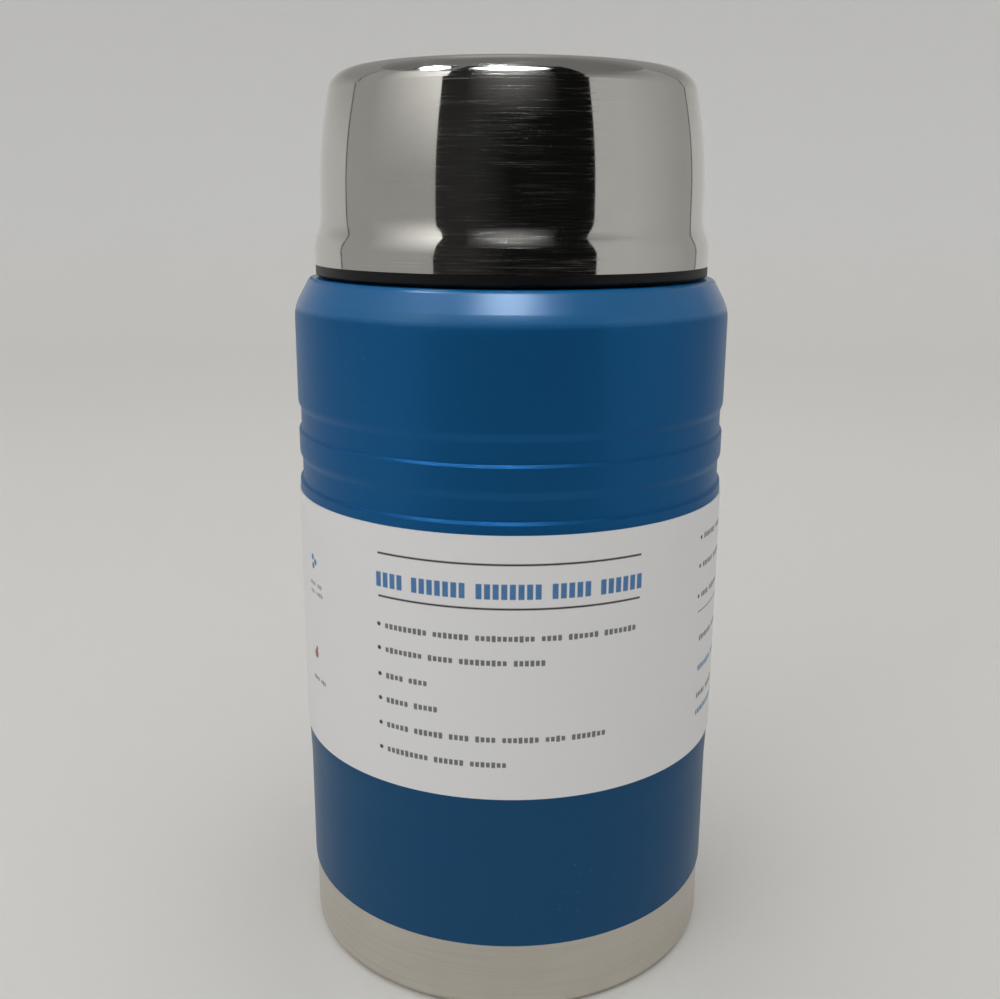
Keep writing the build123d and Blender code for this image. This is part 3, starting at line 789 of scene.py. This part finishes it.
def tent_level(graph):
    """Walls of the tent: brighter beside the opening, on the right only low down, and low behind."""
    radius, angle, z = graph.polar()
    degrees = graph.times(angle, 180 / math.pi)
    away = graph.size(degrees)
    on_left = graph.math("LESS_THAN", degrees, 0.0)
    left = graph.times(on_left, graph.remap(away, *LEFT_GLOW))
    right = graph.times(graph.subtract(1.0, on_left), graph.remap(away, *RIGHT_GLOW))
    back = graph.math("GREATER_THAN", graph.size(graph.subtract(degrees, SIDES_MIDDLE)), SIDES_REACH)
    level = graph.add(TENT_LEVEL, graph.times(right, graph.remap(z, *RIGHT_RISE)))
    level = graph.add(level, graph.times(left, graph.remap(z, *LEFT_RISE)))
    return graph.add(level, graph.times(back, graph.remap(z, *BACK_RISE)))


def opening_level(graph):
    """The dark opening, with a soft lamp glow high in its middle."""
    radius, angle, z = graph.polar()
    middle = graph.remap(graph.size(angle), *OPENING_FADE)
    high = graph.remap(z, *OPENING_RISE)
    dim = graph.remap(angle, *OPENING_DIM)
    return graph.add(graph.times(high, middle), dim)


def ceiling_level(graph):
    """The ceiling: brighter towards the back, most of all near CEILING_GLOW_X."""
    x, y, z = graph.axes()
    aside = graph.size(graph.subtract(x, CEILING_GLOW_X))
    bright = graph.times(graph.remap(aside, *CEILING_GLOW), graph.remap(y, *CEILING_GLOW_Y))
    return graph.add(graph.remap(y, *CEILING_RISE), bright)


def seam_level(graph):
    return SEAM_LEVEL


def front_floor_level(graph):
    """The floor in front as the jar reflects it: bright close by, dim further out, even at the sides."""
    radius, angle, z = graph.polar()
    level = graph.remap(radius, FRONT_FLOOR[1], FRONT_FLOOR[2], *FRONT_FLOOR_LEVELS)
    for start, full, side_level in FRONT_FLOOR_SIDES:
        side = graph.remap(angle, math.radians(start), math.radians(full))
        level = graph.add(level, graph.times(side, graph.subtract(side_level, level)))
    return level


def from_middle(graph, value, low, high):
    """-1 where the value is low, 0 half way and 1 where it is high."""
    return graph.math("DIVIDE", graph.subtract(value, (low + high) / 2), (high - low) / 2)


def strip_level(graph, start, end, strength):
    """An ellipse of light that fades out from its middle."""
    radius, angle, z = graph.polar()
    across = from_middle(graph, angle, math.radians(start), math.radians(end))
    along = from_middle(graph, radius, *STRIP_RADII)
    fade = graph.remap(graph.length(across, along), *STRIP_FADE)
    return graph.times(graph.times(fade, fade), strength)


def lamp_cards():
    """Two lamps overhead in front of the jar."""
    profile = [(radius, STRIP_Z) for radius in STRIP_RADII]
    for number, (start, end, strength) in enumerate(STRIPS, 1):
        name = "lamp_glow_" + str(number)
        material = glow(name, lambda graph: strip_level(graph, start, end, strength), LAMP_TINT)
        curved_card(name, profile, start, end, material, steps=8)


def reflected_room():
    walls = ((TENT_R, 0.0), (TENT_R, TENT_TOP))
    curved_card("tent", walls, OPENING[1], OPENING[0] + 360.0, glow("tent", tent_level), steps=90)
    ceiling = ((TENT_R, TENT_TOP), (CEILING_HOLE_R, TENT_TOP))
    curved_card("ceiling", ceiling, -180.0, 180.0, glow("ceiling", ceiling_level))
    curved_card("opening", OPENING_PROFILE, *OPENING, glow("opening", opening_level))
    seam_profile = ((SEAM_R, 0.0), (SEAM_R, TENT_TOP))
    for number, seam in enumerate(SEAMS, 1):
        curved_card("seam_" + str(number), seam_profile, *seam, glow("seam", seam_level), steps=2)
    lamp_cards()
    near_floor = [(radius, FRONT_FLOOR_Z) for radius in FRONT_FLOOR]
    curved_card("front_floor", near_floor, *FRONT_FLOOR_TURN, glow("front_floor", front_floor_level))


# ---- Lights and camera ----


def room_light():
    world = bpy.data.worlds.new("room")
    world.use_nodes = True
    background = world.node_tree.nodes["Background"]
    background.inputs["Color"].default_value = WORLD_COLOUR
    background.inputs["Strength"].default_value = WORLD
    bpy.context.scene.world = world


def soft_lamp():
    """A softbox that faces the middle of the jar. Reflections show the lamp cards instead."""
    turn = math.radians(LAMP_AZIMUTH)
    rise = math.radians(LAMP_ELEVATION)
    away = Vector(round_axis(math.cos(rise), turn, math.sin(rise)))
    data = bpy.data.lights.new("lamp", "AREA")
    data.shape = "RECTANGLE"
    data.size = LAMP_SIZE[0]
    data.size_y = LAMP_SIZE[1]
    data.energy = LAMP_WATTS
    lamp = new_object("lamp", data)
    lamp.location = Vector(LAMP_AIM) + away * LAMP_DISTANCE
    lamp.rotation_mode = "QUATERNION"
    lamp.rotation_quaternion = (-away).to_track_quat("-Z", "Y")
    lamp.visible_glossy = False


def build_camera():
    data = bpy.data.cameras.new("camera")
    data.sensor_width = SENSOR
    data.lens = LENS
    data.clip_start = CLIP_START
    data.clip_end = CLIP_END
    pitch = math.radians(CAMERA_PITCH)
    yaw = math.radians(CAMERA_YAW)
    roll = math.radians(CAMERA_ROLL)
    forward = Vector((math.sin(yaw) * math.cos(pitch), math.cos(yaw) * math.cos(pitch), -math.sin(pitch)))
    level = forward.to_track_quat("-Z", "Y")
    camera = new_object("camera", data)
    camera.rotation_mode = "QUATERNION"
    camera.rotation_quaternion = level @ Matrix.Rotation(roll, 4, "Z").to_quaternion()
    camera.location = (0.0, CAMERA_Y, CAMERA_Z)
    bpy.context.scene.camera = camera


# ---- Build ----

polished_steel()
blue_coat()
metal_parts()
spoon_steel()
plastic_parts()
vent_spring()
label_paper()
floor_and_wall()
reflected_room()
room_light()
soft_lamp()
build_camera()
bpy.context.scene.view_settings.view_transform = "Standard"
